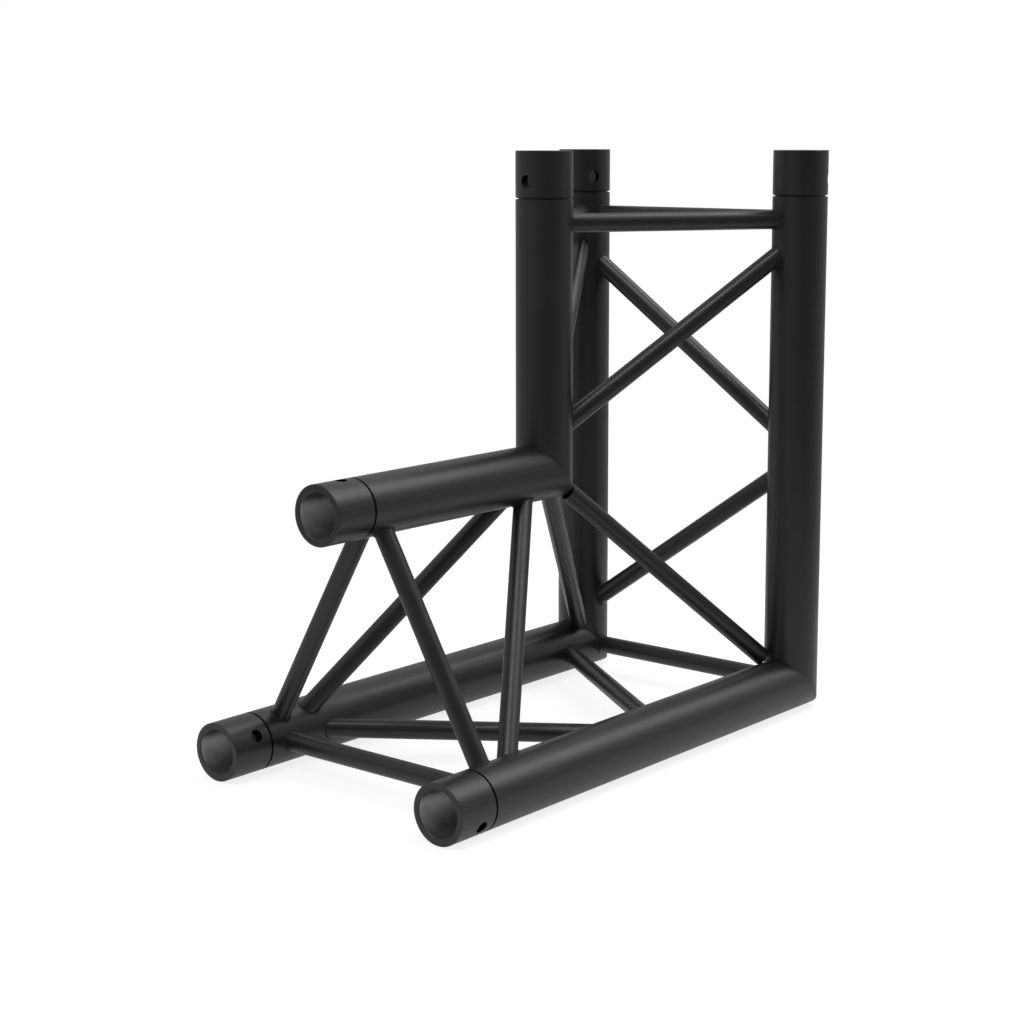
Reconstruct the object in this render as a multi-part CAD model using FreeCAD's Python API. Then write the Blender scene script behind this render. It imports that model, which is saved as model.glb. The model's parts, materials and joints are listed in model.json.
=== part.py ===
import FreeCAD, Part
import math
import os

# Ninety-degree corner section of a three-chord stage truss, welded from round aluminium tube.
# The level leg lies on its two base chords, with its apex chord above them. The upright leg
# stands at the back, and its apex chord is on the inside of the corner. The two legs are mirror
# images in the mitre plane, which leans at 45 degrees.
# Millimetres, +Z up, +X to the right, and the level leg's open end faces -Y. The origin is on
# the ground under the middle of the section.

# Driving dimensions
LEG_LENGTH = 500.0             # outside of the corner to a leg's open end
CHORD_SPACING = 239.0          # between the axes of any two chords of a leg
CHORD_RADIUS = 24.0
CHORD_WALL = 3.0
BRACE_RADIUS = 8.0
BRACE_WALL = 2.0

RECEIVER_LENGTH = 40.0         # the part of a receiver that stands out of its chord
SPIGOT_LENGTH = 25.0           # the part of a receiver that is pushed into its chord
SPIGOT_CLEARANCE = 0.05        # radial gap between the spigot and the chord's bore
SOCKET_RADIUS = 18.3           # cylindrical land inside the mouth
SOCKET_LAND = 5.0
SOCKET_TAPER = 5.5             # half-angle of the cone behind the land, in degrees
SOCKET_DEPTH = 45.0            # mouth to the cone's small end; a plain bore goes on from there
MOUTH_CHAMFER = 1.0
RIM_BREAK = 0.4                # small chamfer round the outside of the mouth
GROOVE_WIDTH = 1.1             # groove round a receiver's shoulder, against the end of its chord
GROOVE_DEPTH = 2.2
GROOVE_CHAMFER = 1.0           # on the groove's receiver side
PIN_HOLE_RADIUS = 5.2
PIN_HOLE_SETBACK = 25.0        # open end to the pin hole's axis

DIAGONAL_LEAN = 35.0           # between a diagonal and the rungs, in degrees
RUNG_SETBACK = 60.0            # open end to the end rungs' axes
SIDE_DIAGONAL_SETBACK = 76.0   # open end to the side diagonals' feet on the base chords
BASE_DIAGONAL_SETBACK = 91.7   # open end to the outer base diagonal's foot on the left chord
FOOT_SPACING = 17.0            # between the base diagonals' two feet on the right chord
CORNER_BRACE_FOOT = 38.5       # base corner of the chords' axes to a side corner brace's foot
CORNER_BRACE_HEAD = 30.0       # apex corner of the chords' axes to its head

# Worked out from them
TRIANGLE_HEIGHT = CHORD_SPACING * math.sqrt(3) / 2
AXIS_LENGTH = LEG_LENGTH - CHORD_RADIUS
DIAGONAL_RUN = CHORD_SPACING * math.tan(math.radians(DIAGONAL_LEAN))
RUNG_AT = AXIS_LENGTH - RUNG_SETBACK
SIDE_DIAGONAL_AT = AXIS_LENGTH - SIDE_DIAGONAL_SETBACK
BASE_DIAGONAL_AT = AXIS_LENGTH - BASE_DIAGONAL_SETBACK

# Each chord's place in a leg's cross-section: sideways, and away from the base face
CHORDS = {
    "left": (-CHORD_SPACING / 2, 0.0),
    "right": (CHORD_SPACING / 2, 0.0),
    "apex": (0.0, TRIANGLE_HEIGHT),
}
CENTROID_RISE = TRIANGLE_HEIGHT / 3

# Which wall of a chord's receiver has the pin hole: 1 is the wall that faces away from the middle
# of the leg's triangle, and -1 the wall that faces it
PIN_HOLE_FACING = {"left": -1, "right": 1, "apex": 1}

# Where the axes of the base chords of both legs cross, seen from the side
CORNER = FreeCAD.Vector(0, LEG_LENGTH / 2 - CHORD_RADIUS, CHORD_RADIUS)
MITRE_NORMAL = FreeCAD.Vector(0, 1, 1).normalize()
OUTWARD = FreeCAD.Vector(0, -1, 0)   # along the level leg, towards its open end


def on_axis(chord, distance):
    """Point on a chord's axis in the level leg, a distance along the leg from the corner."""
    sideways, rise = CHORDS[chord]
    return CORNER + FreeCAD.Vector(sideways, -distance, rise)


def stand_up(shape):
    """The upright leg's copy of a shape in the level leg."""
    return shape.mirror(CORNER, MITRE_NORMAL)


def level_side_of_mitre():
    """Everything on the level leg's side of the mitre plane, as a wedge larger than the truss."""
    reach = 2 * LEG_LENGTH
    low_back = CORNER + FreeCAD.Vector(-reach, reach, -reach)
    low_front = CORNER + FreeCAD.Vector(-reach, -reach, -reach)
    high_front = CORNER + FreeCAD.Vector(-reach, -reach, reach)
    outline = Part.makePolygon([low_back, low_front, high_front, low_back])
    return Part.Face(outline).extrude(FreeCAD.Vector(2 * reach, 0, 0))


def turned(chord, profile):
    """Solid of revolution about a chord's axis; each profile point is (distance, radius)."""
    sideways, rise = CHORDS[chord]
    points = []
    for distance, radius in profile:
        points.append(CORNER + FreeCAD.Vector(sideways, -distance, rise + radius))
    face = Part.Face(Part.makePolygon(points + points[:1]))
    return face.revolve(on_axis(chord, 0), OUTWARD, 360)


def chord_tube(chord, mitre_side):
    """A chord from the mitre to the receiver's shoulder, cut square at its outer end."""
    start = -2 * CHORD_RADIUS
    end = AXIS_LENGTH - RECEIVER_LENGTH
    tube = turned(chord, [
        (start, CHORD_RADIUS - CHORD_WALL),
        (end, CHORD_RADIUS - CHORD_WALL),
        (end, CHORD_RADIUS),
        (start, CHORD_RADIUS),
    ])
    return tube.common(mitre_side)


def chord_bar(chord, mitre_side):
    """A chord's outer shape as a solid bar, which the braces are coped to fit."""
    start = on_axis(chord, -2 * CHORD_RADIUS)
    bar = Part.makeCylinder(CHORD_RADIUS, AXIS_LENGTH + 2 * CHORD_RADIUS, start, OUTWARD)
    return bar.common(mitre_side)


def receiver(chord):
    """Machined end piece: collar, grooved shoulder, spigot, conical socket and pin hole."""
    mouth = AXIS_LENGTH
    shoulder = AXIS_LENGTH - RECEIVER_LENGTH
    spigot_end = shoulder - SPIGOT_LENGTH
    spigot_radius = CHORD_RADIUS - CHORD_WALL - SPIGOT_CLEARANCE
    land_start = mouth - MOUTH_CHAMFER
    land_end = land_start - SOCKET_LAND
    cone_end = mouth - SOCKET_DEPTH
    throat_radius = SOCKET_RADIUS - (land_end - cone_end) * math.tan(math.radians(SOCKET_TAPER))
    groove_end = shoulder + GROOVE_WIDTH
    body = turned(chord, [
        (mouth - RIM_BREAK, CHORD_RADIUS),
        (mouth, CHORD_RADIUS - RIM_BREAK),
        (mouth, SOCKET_RADIUS + MOUTH_CHAMFER),
        (land_start, SOCKET_RADIUS),
        (land_end, SOCKET_RADIUS),
        (cone_end, throat_radius),
        (spigot_end, throat_radius),
        (spigot_end, spigot_radius),
        (shoulder, spigot_radius),
        (shoulder, CHORD_RADIUS - GROOVE_DEPTH),
        (groove_end, CHORD_RADIUS - GROOVE_DEPTH),
        (groove_end, CHORD_RADIUS - GROOVE_CHAMFER),
        (groove_end + GROOVE_CHAMFER, CHORD_RADIUS),
    ])
    return body.cut(pin_hole(chord))


def pin_hole(chord):
    """The drilling for a locking pin, through one wall, in line with the leg's middle."""
    sideways, rise = CHORDS[chord]
    radial = FreeCAD.Vector(sideways, 0, rise - CENTROID_RISE).normalize()
    middle = on_axis(chord, AXIS_LENGTH - PIN_HOLE_SETBACK)
    outward = radial * PIN_HOLE_FACING[chord]
    return Part.makeCylinder(PIN_HOLE_RADIUS, 2 * CHORD_RADIUS, middle, outward)


def brace(start, end, bars):
    """A brace tube between two points on chord axes, coped to the outsides of the chords."""
    along = end - start
    outside = Part.makeCylinder(BRACE_RADIUS, along.Length, start, along)
    inside = Part.makeCylinder(BRACE_RADIUS - BRACE_WALL, along.Length, start, along)
    return outside.cut(inside).cut(bars)


def leg_braces(bars):
    """The seven braces of the level leg: three end rungs, two side and two base diagonals."""
    braces = {}
    for name, first, second in (
        ("left_rung", "left", "apex"),
        ("right_rung", "right", "apex"),
        ("base_rung", "left", "right"),
    ):
        braces[name] = brace(on_axis(first, RUNG_AT), on_axis(second, RUNG_AT), bars)
    for side in ("left", "right"):
        foot = on_axis(side, SIDE_DIAGONAL_AT)
        head = on_axis("apex", SIDE_DIAGONAL_AT - DIAGONAL_RUN)
        braces[side + "_diagonal"] = brace(foot, head, bars)
    turn_at = BASE_DIAGONAL_AT - DIAGONAL_RUN
    braces["base_outer_diagonal"] = brace(
        on_axis("left", BASE_DIAGONAL_AT), on_axis("right", turn_at), bars)
    braces["base_inner_diagonal"] = brace(
        on_axis("right", turn_at - FOOT_SPACING),
        on_axis("left", turn_at - FOOT_SPACING - DIAGONAL_RUN), bars)
    return braces


def corner_braces(bars):
    """The three braces in the mitre plane, which join the corners of the chords. The two side
    braces are cut square: the foot stands across the valley of a base corner's mitre, and the
    head meets only the ridge of the apex corner's mitre."""
    left = on_axis("left", 0)
    right = on_axis("right", 0)
    apex = on_axis("apex", TRIANGLE_HEIGHT)
    braces = {"corner_base_brace": brace(left, right, bars)}
    for side, corner in (("left", left), ("right", right)):
        upward = (apex - corner).normalize()
        foot = corner + upward * CORNER_BRACE_FOOT
        head = apex - upward * CORNER_BRACE_HEAD
        braces["corner_" + side + "_brace"] = brace(foot, head, bars)
    return braces


def build():
    """Every piece of the section, by name."""
    mitre_side = level_side_of_mitre()
    level_bars = [chord_bar(chord, mitre_side) for chord in CHORDS]
    bars = level_bars + [stand_up(bar) for bar in level_bars]
    leg = {}
    for chord in CHORDS:
        leg[chord + "_chord"] = chord_tube(chord, mitre_side)
        leg[chord + "_receiver"] = receiver(chord)
    leg.update(leg_braces(bars))
    pieces = corner_braces(bars)
    for name, shape in leg.items():
        pieces["level_" + name] = shape
        pieces["upright_" + name] = stand_up(shape)
    return pieces


def write(pieces):
    """One STEP file for each piece."""
    os.makedirs("parts", exist_ok=True)
    for name, shape in pieces.items():
        if len(shape.Solids) != 1 or not shape.isValid():
            raise ValueError(name + " is not one valid solid")
        shape.Solids[0].exportStep(os.path.join("parts", name + ".step"))


write(build())
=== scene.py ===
import json
import math

import bpy
from mathutils import Euler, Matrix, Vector
from mathutils.bvhtree import BVHTree


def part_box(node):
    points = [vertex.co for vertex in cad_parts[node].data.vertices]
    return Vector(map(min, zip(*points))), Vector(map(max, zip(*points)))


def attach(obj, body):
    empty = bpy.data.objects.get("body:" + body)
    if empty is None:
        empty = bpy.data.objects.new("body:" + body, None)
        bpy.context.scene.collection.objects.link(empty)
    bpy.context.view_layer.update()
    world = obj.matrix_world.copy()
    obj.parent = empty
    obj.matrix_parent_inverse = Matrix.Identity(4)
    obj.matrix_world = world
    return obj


# A black-coated corner section of triangular stage truss, standing on its level leg.
# Metres, in the CAD model's own frame: +Z up, and the level leg's open end faces -Y.

# Camera
CAMERA_PLACE = (1.0676, -1.2912, 0.5089)
CAMERA_TILT = math.radians(80.79)      # from looking straight down
CAMERA_HEADING = math.radians(39.40)   # from looking along +Y, towards -X
CAMERA_LENS = 70.85                    # millimetres, as is the sensor
CAMERA_SENSOR = 36.0
CAMERA_SHIFT = (-0.0237, -0.0445)

# Tubes
CHORD_RADIUS = 0.024
BRACE_RADIUS = 0.008
MOUTH_CHAMFER = 0.001
DIAGONAL_LEAN = math.radians(35)       # between a diagonal and the rungs
CHORDS = ("left", "right", "apex")
LEGS = {"level": (0, -1, 0), "upright": (0, 0, 1)}   # which way each leg's open end faces

# Weld beads
WELD_LEG = 0.0011                      # along each of the two tubes that a bead joins
WELD_SINK = 0.0002                     # how far its toes are sunk into the tubes
WELD_BULGE = 0.18                      # of its face, as a share of the leg
WELD_RIPPLE = 0.0012                   # pitch of the ripples along it
WELD_RIPPLE_SHARE = 0.07               # of the leg, which a ripple adds or takes away
WELD_STEPS = 128                       # round the brace
WELD_FACE_STEPS = 4                    # from toe to toe

# Powder coat. Greys are shares of the light that is sent back.
COAT_GREYS = (0.0090, 0.0112)          # the coat's darkest and lightest clouds
BLUE_CAST = 1.03                       # of every grey, over its red and green
SATIN = 0.38                           # roughness
SATIN_SPREAD = 0.04                    # up and down from it
CLOUD_SIZE = 0.045                     # of the changes in colour, and in most of the gloss
MOTTLE_SIZE = 0.006                    # of the rest of the changes in gloss
MOTTLE_SHARE = 0.4
NOISE_SPAN = (0.3, 0.7)                # nearly all of a noise's values lie between these
PEEL_SIZE = 0.0024                     # orange peel
PEEL_DEPTH = 0.000010
DIE_LINE_SIZE = 0.0025                 # lines along the chords
DIE_LINE_DEPTH = 0.000010
DIE_LINE_DRAW = 0.02                   # their width over their length
# weld beads darker than the coat: painted shade in the creases of the joints
WELD_CREASE_SHADE_GREYS = (0.0030, 0.0070)
WELD_DULL = (0.70, 0.80)               # roughness
WELD_SPECK_SIZE = 0.0008
WELD_SPECK_DEPTH = 0.000030

# Receivers: turning marks, and wear on both rims of the end face. An edge is a pair of distances
# between which a part of the finish begins or ends.
TURNING_PITCH = 0.0006
TURNING_DEPTH = 0.000004
RUBBED_GREY = 0.018
RUBBED_SPOT_SIZE = 0.004
RUBBED_SPAN = (0.35, 0.60)             # noise values between which the rubbing begins
RIM_EDGE = (0.0005, 0.0012)            # in from the mouth
OUTER_RIM_EDGE = (-0.0008, -0.0003)    # from the outside of the receiver
INNER_RIM_EDGE = (0.0, 0.0004)         # from the outside of the mouth's chamfer

# Their sockets, bare metal inside, with painted light and shade: a painted highlight band at the
# height of the axis, painted shade above and below it, and painted light that grows deeper in,
# against the shade there.
# A pair of greys is at the mouth and deep inside.
SOCKET_HIGHLIGHT_GREYS = (0.52, 0.92)
SOCKET_SHADE_GREYS = (0.04, 0.11)            # the same wall in painted shade
BORE_DEEP = 0.030                      # in from the mouth, where the second grey is reached
HIGHLIGHT_BAND_FROM = (-0.019, 0.004)            # heights from a socket's land between which the painted highlight band fades in, and between which it fades out again
HIGHLIGHT_BAND_TO = (0.003, 0.013)               # fades in, and between which it fades out again
STREAK_SIZE = 0.010                    # of the unevenness in those heights
STREAK_HEIGHT = 0.006
WALL_EDGE = (0.0001, 0.0003)           # from the radius of a socket or a pin hole

# Their pin holes, dull, and painted black inside as shade
PIN_HOLE_SHADE_GREY = 0.006
PIN_HOLE_DULL = 0.37                   # added to the coat's roughness
SKIN_EDGE = (-0.0002, -0.0001)         # from the outside of the receiver
PIN_WALL_EDGE = (-0.010, -0.008)       # from the pin hole's mount, along its axis

# Studio. Each light is a soft round patch of the sky: where it is, seen from the object (azimuth
# from +X towards +Y, then elevation), its radius, all in degrees, and how bright it is.
FLOOR_RADIUS = 0.75
FLOOR_STEPS = 96                       # round its rim
FLOOR_ALBEDO = 0.28
FLOOR_GLOW = 0.82                      # in the camera's sight, so the floor is an even white
FLOOR_GLOW_REFLECTED = 0.50            # in all other rays
SKY_AT_HORIZON = 0.46
SKY_OVERHEAD = 0.72
KEY_LIGHT = (-66.8, 69.0, 11.0, 5.6)
SIDE_LIGHT = (62.5, 53.6, 20.0, 3.2)
DARK_SIDE = (-29.2, 11.4, 54.0, 0.61)  # the last number is the share of light that is missing
LIGHT_SOFTNESS = 0.4                   # share of a light's radius, inwards and outwards
DARK_SIDE_SOFTNESS = 0.6

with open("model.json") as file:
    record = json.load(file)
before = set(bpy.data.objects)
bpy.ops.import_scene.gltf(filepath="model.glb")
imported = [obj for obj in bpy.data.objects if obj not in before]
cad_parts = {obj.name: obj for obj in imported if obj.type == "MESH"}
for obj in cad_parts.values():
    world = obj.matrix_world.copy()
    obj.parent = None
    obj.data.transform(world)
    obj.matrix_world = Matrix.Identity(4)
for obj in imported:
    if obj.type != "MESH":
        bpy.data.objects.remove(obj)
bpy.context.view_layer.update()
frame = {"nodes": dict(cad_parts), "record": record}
mounts = {mount["name"]: mount for mount in frame["record"]["mounts"]}


def middle_of(node_name):
    """Middle of a node's box."""
    low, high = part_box(node_name)
    return (Vector(low) + Vector(high)) / 2


# ---------------------------------------------------------------- shader building

def grey(level):
    """A slightly blue grey, as a colour."""
    return (level, level, level * BLUE_CAST, 1)


class Nodes:
    """A material's or a world's node tree, with short calls for the nodes used here."""

    def __init__(self, tree):
        self.tree = tree

    def add(self, kind, **settings):
        """A new shader node."""
        node = self.tree.nodes.new("ShaderNode" + kind)
        for name, value in settings.items():
            setattr(node, name, value)
        return node

    def feed(self, socket, source):
        """Joins a source to a socket, or sets the socket to it if it is a plain value."""
        if isinstance(source, bpy.types.NodeSocket):
            self.tree.links.new(source, socket)
        else:
            socket.default_value = source

    def place(self):
        """Place of the shaded point, in the CAD model's frame."""
        return self.add("TexCoord").outputs["Object"]

    def math(self, operation, *sources):
        """A number worked out from the sources."""
        node = self.add("Math", operation=operation)
        for socket, source in zip(node.inputs, sources):
            self.feed(socket, source)
        return node.outputs[0]

    def vector(self, operation, *sources):
        """A vector worked out from the sources, or a number for a length or a dot product."""
        node = self.add("VectorMath", operation=operation)
        for socket, source in zip(node.inputs, sources):
            self.feed(socket, source)
        return node.outputs["Value" if operation in ("LENGTH", "DOT_PRODUCT") else "Vector"]

    def ramp(self, source, low, high, start=0.0, end=1.0):
        """Smooth step from start to end while the source goes from low to high."""
        node = self.add("MapRange", interpolation_type="SMOOTHSTEP")
        for name, value in (("Value", source), ("From Min", low), ("From Max", high),
                            ("To Min", start), ("To Max", end)):
            self.feed(node.inputs[name], value)
        return node.outputs["Result"]

    def begins(self, source, start, edge):
        """Mask that goes from 0 to 1 across an edge, which is measured from start."""
        return self.ramp(source, start + edge[0], start + edge[1], 0, 1)

    def ends(self, source, start, edge):
        """Mask that goes from 1 to 0 across an edge, which is measured from start."""
        return self.ramp(source, start + edge[0], start + edge[1], 1, 0)

    def noise(self, place, size, detail=2.0):
        """Noise whose features are about size metres across, from 0 to 1."""
        node = self.add("TexNoise")
        self.feed(node.inputs["Vector"], place)
        node.inputs["Scale"].default_value = 1 / size
        node.inputs["Detail"].default_value = detail
        return node.outputs["Fac"]

    def mix(self, share, first, second):
        """Blend of two grey levels or colours, as a colour."""
        node = self.add("Mix", data_type="RGBA")
        self.feed(node.inputs["Factor"], share)
        for name, value in (("A", first), ("B", second)):
            socket = next(s for s in node.inputs if s.name == name and s.type == "RGBA")
            self.feed(socket, value if isinstance(value, bpy.types.NodeSocket) else grey(value))
        return next(s for s in node.outputs if s.type == "RGBA")

    def bump(self, height, depth, before=None):
        """Normal of a surface raised by height times depth metres."""
        node = self.add("Bump")
        self.feed(node.inputs["Height"], height)
        node.inputs["Distance"].default_value = depth
        if before is not None:
            self.feed(node.inputs["Normal"], before)
        return node.outputs["Normal"]


def new_material(name):
    """A new material, with its nodes and its shader."""
    material = bpy.data.materials.new(name)
    material.use_nodes = True
    nodes = Nodes(material.node_tree)
    return material, nodes, material.node_tree.nodes["Principled BSDF"]


def finish_material(nodes, shader, colour, roughness, normal):
    """Joins a finish to the shader."""
    nodes.feed(shader.inputs["Base Color"], colour)
    nodes.feed(shader.inputs["Roughness"], roughness)
    nodes.feed(shader.inputs["Normal"], normal)


# ---------------------------------------------------------------- materials

def powder_coat(nodes, place):
    """Satin black powder coat: orange peel, faint clouding of the colour and of the gloss."""
    clouds = nodes.noise(place, CLOUD_SIZE, detail=4)
    mottle = nodes.noise(place, MOTTLE_SIZE, detail=3)
    colour = nodes.mix(nodes.ramp(clouds, *NOISE_SPAN), *COAT_GREYS)
    unevenness = nodes.math("ADD", nodes.math("MULTIPLY", clouds, 1 - MOTTLE_SHARE),
                            nodes.math("MULTIPLY", mottle, MOTTLE_SHARE))
    roughness = nodes.ramp(unevenness, *NOISE_SPAN, SATIN - SATIN_SPREAD, SATIN + SATIN_SPREAD)
    return colour, roughness, nodes.bump(nodes.noise(place, PEEL_SIZE), PEEL_DEPTH)


def chord_coat(name, draw):
    """Coat on an extruded tube, whose die lines show faintly through it. Draw shortens the
    lengthwise coordinate, which draws the noise out into lines."""
    material, nodes, shader = new_material(name)
    place = nodes.place()
    colour, roughness, normal = powder_coat(nodes, place)
    lines = nodes.noise(nodes.vector("MULTIPLY", place, draw), DIE_LINE_SIZE)
    normal = nodes.bump(lines, DIE_LINE_DEPTH, normal)
    finish_material(nodes, shader, colour, roughness, normal)
    return material


def brace_coat():
    """Coat on the thin brace tubes."""
    material, nodes, shader = new_material("brace_coat")
    finish_material(nodes, shader, *powder_coat(nodes, nodes.place()))
    return material


def weld_coat_painted_shade():
    """Coat on the weld beads, dull over their ripples, and darker than the tubes' coat: painted
    shade in the creases of the joints.
    """
    material, nodes, shader = new_material("weld_coat_painted_shade")
    specks = nodes.noise(nodes.place(), WELD_SPECK_SIZE, detail=3)
    colour = nodes.mix(specks, *WELD_CREASE_SHADE_GREYS)
    roughness = nodes.ramp(specks, *NOISE_SPAN, *WELD_DULL)
    finish_material(nodes, shader, colour, roughness, nodes.bump(specks, WELD_SPECK_DEPTH))
    return material


def distance_along(nodes, place, mount, direction):
    """Distance of the shaded point from a mount's place, in a direction."""
    from_mount = nodes.vector("SUBTRACT", place, mount["pos_m"])
    return nodes.vector("DOT_PRODUCT", from_mount, direction)


def distance_from_axis(nodes, place, mount):
    """Distance of the shaded point from a mount's axis."""
    from_mount = nodes.vector("SUBTRACT", place, mount["pos_m"])
    return nodes.vector("LENGTH", nodes.vector("CROSS_PRODUCT", from_mount, mount["axis"]))


def radius_of(mount):
    """Radius of a bore mount, in metres."""
    return mount["dims"]["r_mm"] / 1000


def rim_wear(nodes, place, depth, radius, chamfer_radius):
    """Mask of the rubbed spots on the inner and outer rims of the end face."""
    spots = nodes.ramp(nodes.noise(place, RUBBED_SPOT_SIZE, detail=4), *RUBBED_SPAN)
    near_mouth = nodes.ends(depth, 0, RIM_EDGE)
    outer_rim = nodes.begins(radius, CHORD_RADIUS, OUTER_RIM_EDGE)
    inner_rim = nodes.ends(radius, chamfer_radius, INNER_RIM_EDGE)
    rims = nodes.math("MULTIPLY", near_mouth, nodes.math("MAXIMUM", outer_rim, inner_rim))
    return nodes.math("MULTIPLY", rims, spots)


def socket_painted_light(nodes, place, depth, socket):
    """Colour inside a socket: bare metal, with a painted highlight in a band, painted shade below
    and above it, and painted light that grows with depth.
    """
    streaks = nodes.math("MULTIPLY_ADD", nodes.noise(place, STREAK_SIZE, detail=4),
                         STREAK_HEIGHT, -STREAK_HEIGHT / 2)
    height = nodes.math("ADD", distance_along(nodes, place, socket, (0, 0, 1)), streaks)
    fades_in = nodes.begins(height, 0, HIGHLIGHT_BAND_FROM)
    fades_out = nodes.ends(height, 0, HIGHLIGHT_BAND_TO)
    # Lighter deeper in: painted light against the shade deep in the socket
    inwards = nodes.ramp(depth, 0, BORE_DEEP)
    painted_shade = nodes.mix(inwards, *SOCKET_SHADE_GREYS)
    painted_highlight = nodes.mix(inwards, *SOCKET_HIGHLIGHT_GREYS)
    return nodes.mix(nodes.math("MINIMUM", fades_in, fades_out), painted_shade, painted_highlight)


def pin_hole_wall(nodes, place, radius, pin_hole):
    """Mask of a pin hole's wall, without the receiver's opposite side."""
    from_axis = distance_from_axis(nodes, place, pin_hole)
    near_axis = nodes.ends(from_axis, radius_of(pin_hole), WALL_EDGE)
    under_skin = nodes.ends(radius, CHORD_RADIUS, SKIN_EDGE)
    along_hole = distance_along(nodes, place, pin_hole, pin_hole["axis"])
    this_side = nodes.begins(along_hole, 0, PIN_WALL_EDGE)
    return nodes.math("MULTIPLY", nodes.math("MULTIPLY", near_axis, under_skin), this_side)


def receiver_coat(node_name):
    """Coat on one receiver: turning marks show through it, and it is rubbed on the rims of the
    mouth. The socket is bare metal with painted light and shade in it, and the pin hole is
    painted black for the shade inside it."""
    socket = mounts[node_name.replace("receiver", "socket")]
    pin_hole = mounts[node_name.replace("receiver", "pin_hole")]
    axis = Vector(socket["axis"])
    mouth = max(Vector(corner).dot(axis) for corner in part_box(node_name))

    material, nodes, shader = new_material(node_name + "_coat")
    place = nodes.place()
    colour, roughness, normal = powder_coat(nodes, place)
    radius = distance_from_axis(nodes, place, socket)
    depth = nodes.math("SUBTRACT", mouth, nodes.vector("DOT_PRODUCT", place, tuple(axis)))

    turns = nodes.math("MULTIPLY", depth, 2 * math.pi / TURNING_PITCH)
    normal = nodes.bump(nodes.math("SINE", turns), TURNING_DEPTH, normal)
    rubbed = rim_wear(nodes, place, depth, radius, radius_of(socket) + MOUTH_CHAMFER)
    colour = nodes.mix(rubbed, colour, RUBBED_GREY)
    in_socket = nodes.ends(radius, radius_of(socket), WALL_EDGE)
    # Inside the socket: painted highlight band, painted shade above and below it, painted light
    # deeper in
    colour = nodes.mix(in_socket, colour, socket_painted_light(nodes, place, depth, socket))
    # Pin hole wall painted black: painted shade inside the hole
    in_hole = pin_hole_wall(nodes, place, radius, pin_hole)
    colour = nodes.mix(in_hole, colour, PIN_HOLE_SHADE_GREY)
    roughness = nodes.math("ADD", roughness, nodes.math("MULTIPLY", in_hole, PIN_HOLE_DULL))
    # As metal, the painted-black wall has none of the coat's gloss, so the hole reads as shade
    nodes.feed(shader.inputs["Metallic"], in_hole)
    finish_material(nodes, shader, colour, roughness, normal)
    return material


def coat_cad_nodes():
    """Puts a material on every CAD node."""
    tube_coat = brace_coat()
    level_coat = chord_coat("level_chord_coat", (1, DIE_LINE_DRAW, 1))
    upright_coat = chord_coat("upright_chord_coat", (1, 1, DIE_LINE_DRAW))
    for node_name, node in frame["nodes"].items():
        if node_name.endswith("_receiver"):
            coat = receiver_coat(node_name)
        elif node_name.endswith("_chord"):
            coat = level_coat if node_name.startswith("level") else upright_coat
        else:
            coat = tube_coat
        node.data.materials.clear()
        node.data.materials.append(coat)


# ---------------------------------------------------------------- weld beads

def leg_braces(leg):
    """Each brace of a leg: its name, its direction, and the chords that it joins."""
    receivers = {chord: middle_of(leg + "_" + chord + "_receiver") for chord in CHORDS}
    chord_spacing = (receivers["right"] - receivers["left"]).length
    lean = Vector(LEGS[leg]) * chord_spacing * math.tan(DIAGONAL_LEAN)
    braces = []
    for name, first, second in (
        ("left_rung", "left", "apex"),
        ("right_rung", "right", "apex"),
        ("base_rung", "left", "right"),
        ("left_diagonal", "left", "apex"),
        ("right_diagonal", "right", "apex"),
        ("base_outer_diagonal", "left", "right"),
        ("base_inner_diagonal", "right", "left"),
    ):
        direction = receivers[second] - receivers[first]
        if name.endswith("diagonal"):
            direction -= lean
        joined = [leg + "_" + first + "_chord", leg + "_" + second + "_chord"]
        braces.append((leg + "_" + name, direction.normalized(), joined))
    return braces


def corner_base_brace():
    """The same for the brace between the base corners, where each chord meets its twin."""
    direction = middle_of("level_right_receiver") - middle_of("level_left_receiver")
    joined = [leg + "_" + side + "_chord" for leg in LEGS for side in ("left", "right")]
    return "corner_base_brace", direction.normalized(), joined


def chord_surfaces():
    """Each chord's surface, ready for ray casting, by the chord's name."""
    surfaces = {}
    for name, node in frame["nodes"].items():
        if name.endswith("_chord"):
            surfaces[name] = BVHTree.FromPolygons(
                [vertex.co for vertex in node.data.vertices],
                [list(polygon.vertices) for polygon in node.data.polygons])
    return surfaces


def surface_points(brace_name, direction, surfaces):
    """Where the brace's surface lines run into the chords: points, and both surfaces' normals."""
    middle = middle_of(brace_name)
    side = direction.orthogonal().normalized()
    up = direction.cross(side)
    points = []
    for step in range(WELD_STEPS):
        angle = 2 * math.pi * step / WELD_STEPS
        radial = side * math.cos(angle) + up * math.sin(angle)
        start = middle + radial * BRACE_RADIUS
        hits = []
        for surface in surfaces:
            place, normal, _, distance = surface.ray_cast(start, direction)
            if place is not None:
                hits.append((distance, place, normal))
        if not hits:
            raise ValueError("no chord in the way of " + brace_name)
        _, place, normal = min(hits, key=lambda hit: hit[0])
        points.append((place, normal, radial))
    return points


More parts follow.
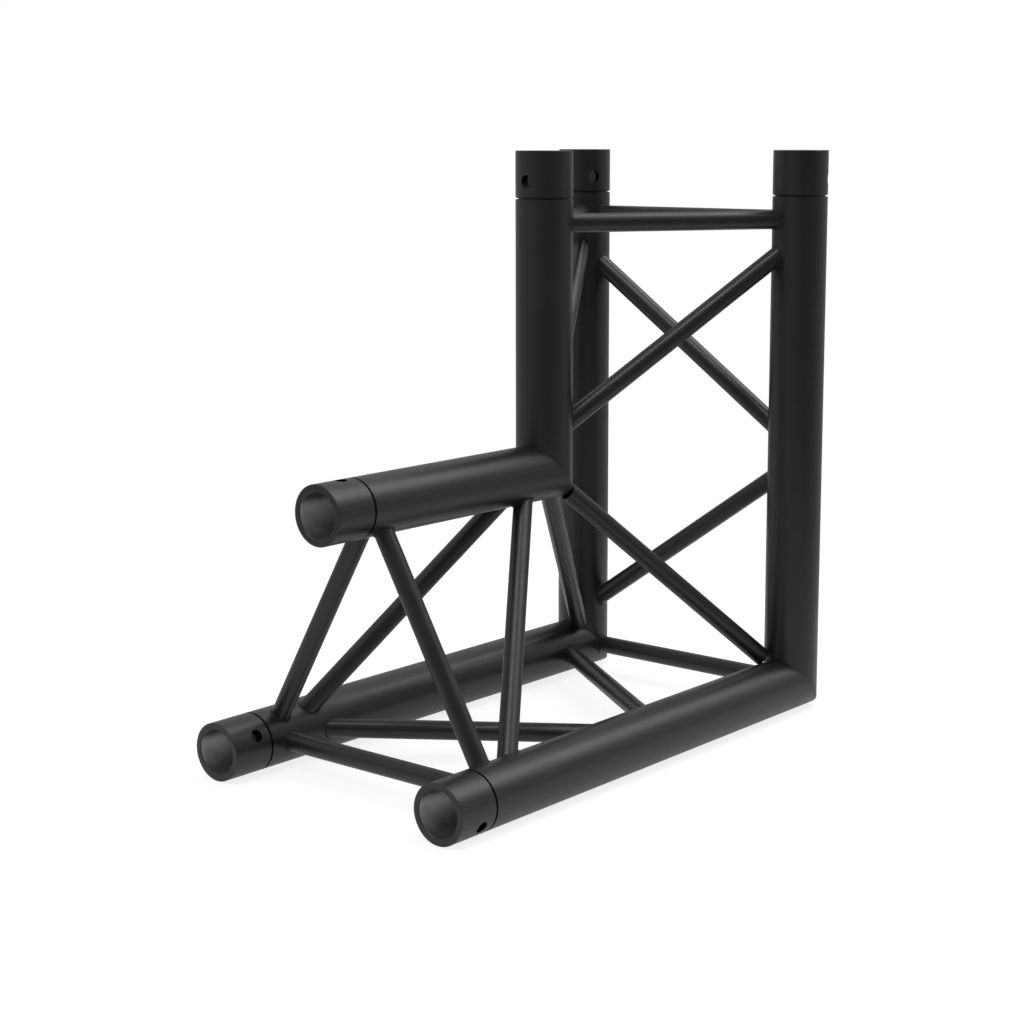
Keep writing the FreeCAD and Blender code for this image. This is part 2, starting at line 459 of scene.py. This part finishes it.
def bead_section(place, chord_normal, brace_normal, tangent, direction, leg):
    """A bead's outline, from the toe on the chord over its face to the toe on the brace, and
    then its root."""
    along_chord = tangent.cross(chord_normal).normalized()
    if along_chord.dot(brace_normal) < 0:
        along_chord.negate()
    along_brace = tangent.cross(brace_normal).normalized()
    if along_brace.dot(direction) > 0:
        along_brace.negate()
    toe_on_chord = place + along_chord * leg - chord_normal * WELD_SINK
    toe_on_brace = place + along_brace * leg - brace_normal * WELD_SINK
    outwards = (along_chord + along_brace).normalized()
    section = []
    for step in range(WELD_FACE_STEPS + 1):
        share = step / WELD_FACE_STEPS
        bulge = math.sin(math.pi * share) * leg * WELD_BULGE
        section.append(toe_on_chord.lerp(toe_on_brace, share) + outwards * bulge)
    section.append(place - (along_chord + along_brace) * WELD_SINK)
    return section


def weld_mesh(name, points, direction):
    """A closed rippled fillet along the line where a brace meets its chords."""
    count = len(points)
    length = sum((points[i][0] - points[i - 1][0]).length for i in range(count))
    ripples = round(length / WELD_RIPPLE)
    vertices = []
    for i, (place, chord_normal, brace_normal) in enumerate(points):
        tangent = (points[(i + 1) % count][0] - points[i - 1][0]).normalized()
        ripple = 1 + WELD_RIPPLE_SHARE * math.sin(2 * math.pi * ripples * i / count)
        vertices += bead_section(
            place, chord_normal, brace_normal, tangent, direction, WELD_LEG * ripple)
    ring = len(vertices) // count
    faces = []
    for i in range(count):
        here = i * ring
        ahead = (i + 1) % count * ring
        for j in range(ring):
            k = (j + 1) % ring
            faces.append((here + j, here + k, ahead + k, ahead + j))
    mesh = bpy.data.meshes.new(name)
    mesh.from_pydata(vertices, [], faces)
    mesh.validate()
    for polygon in mesh.polygons:
        polygon.use_smooth = True
    return mesh


def add_welds(material):
    """A bead round both ends of every coped brace. The corner's two side braces have no bead,
    because their square ends leave gaps."""
    surfaces = chord_surfaces()
    braces = leg_braces("level") + leg_braces("upright") + [corner_base_brace()]
    for brace_name, direction, joined in braces:
        for end, way in (("first", -direction), ("second", direction)):
            name = "weld_" + brace_name + "_" + end
            points = surface_points(brace_name, way, [surfaces[chord] for chord in joined])
            bead = bpy.data.objects.new(name, weld_mesh(name, points, way))
            bpy.context.scene.collection.objects.link(bead)
            bead.data.materials.append(material)
            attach(bead, "root")


# ---------------------------------------------------------------- studio

def floor_material():
    """Plain dull floor, which glows so that it looks white, with only a very faint shadow."""
    material, nodes, shader = new_material("floor")
    shader.inputs["Base Color"].default_value = (FLOOR_ALBEDO, FLOOR_ALBEDO, FLOOR_ALBEDO, 1)
    shader.inputs["Roughness"].default_value = 1.0
    shader.inputs["Specular IOR Level"].default_value = 0.0
    shader.inputs["Emission Color"].default_value = (1, 1, 1, 1)
    seen = nodes.add("LightPath").outputs["Is Camera Ray"]
    glow = nodes.math(
        "MULTIPLY_ADD", seen, FLOOR_GLOW - FLOOR_GLOW_REFLECTED, FLOOR_GLOW_REFLECTED)
    nodes.feed(shader.inputs["Emission Strength"], glow)
    return material


def make_floor():
    """A round floor under the section."""
    rim = []
    for step in range(FLOOR_STEPS):
        angle = 2 * math.pi * step / FLOOR_STEPS
        rim.append((FLOOR_RADIUS * math.cos(angle), FLOOR_RADIUS * math.sin(angle), 0))
    mesh = bpy.data.meshes.new("floor")
    mesh.from_pydata(rim, [], [tuple(range(FLOOR_STEPS))])
    mesh.materials.append(floor_material())
    floor = bpy.data.objects.new("floor", mesh)
    bpy.context.scene.collection.objects.link(floor)


def make_camera():
    """The camera, at the photograph's viewing angle."""
    data = bpy.data.cameras.new("camera")
    data.lens = CAMERA_LENS
    data.sensor_width = CAMERA_SENSOR
    data.shift_x, data.shift_y = CAMERA_SHIFT
    camera = bpy.data.objects.new("camera", data)
    camera.location = CAMERA_PLACE
    camera.rotation_euler = Euler((CAMERA_TILT, 0, CAMERA_HEADING))
    bpy.context.scene.collection.objects.link(camera)
    bpy.context.scene.camera = camera


def sky_patch(nodes, direction, patch, softness, inside, outside):
    """A level that changes from inside a round patch of the sky to outside it."""
    azimuth, elevation, radius = (math.radians(angle) for angle in patch[:3])
    middle = (math.cos(azimuth) * math.cos(elevation),
              math.sin(azimuth) * math.cos(elevation),
              math.sin(elevation))
    angle = nodes.math("ARCCOSINE", nodes.vector("DOT_PRODUCT", direction, middle))
    return nodes.ramp(angle, (1 - softness) * radius, (1 + softness) * radius, inside, outside)


def make_world():
    """A plain white backdrop for the camera, lit by a soft sky that the camera doesn't see."""
    world = bpy.data.worlds.new("studio")
    bpy.context.scene.world = world
    world.use_nodes = True
    nodes = Nodes(world.node_tree)
    direction = nodes.vector("NORMALIZE", nodes.add("TexCoord").outputs["Generated"])
    height = nodes.add("SeparateXYZ")
    nodes.feed(height.inputs[0], direction)
    sky = nodes.add("MapRange")
    nodes.feed(sky.inputs["Value"], height.outputs["Z"])
    nodes.feed(sky.inputs["To Min"], SKY_AT_HORIZON)
    nodes.feed(sky.inputs["To Max"], SKY_OVERHEAD)
    shade = sky_patch(nodes, direction, DARK_SIDE, DARK_SIDE_SOFTNESS, 1 - DARK_SIDE[3], 1)
    light = nodes.math("MULTIPLY", sky.outputs["Result"], shade)
    for patch in (KEY_LIGHT, SIDE_LIGHT):
        glow = sky_patch(nodes, direction, patch, LIGHT_SOFTNESS, patch[3], 0)
        light = nodes.math("ADD", light, glow)
    seen = nodes.add("LightPath").outputs["Is Camera Ray"]
    background = world.node_tree.nodes["Background"]
    background.inputs["Color"].default_value = (1, 1, 1, 1)
    nodes.feed(background.inputs["Strength"], nodes.math("MAXIMUM", seen, light))


coat_cad_nodes()
add_welds(weld_coat_painted_shade())
make_floor()
make_camera()
make_world()
bpy.context.scene.view_settings.view_transform = "Standard"
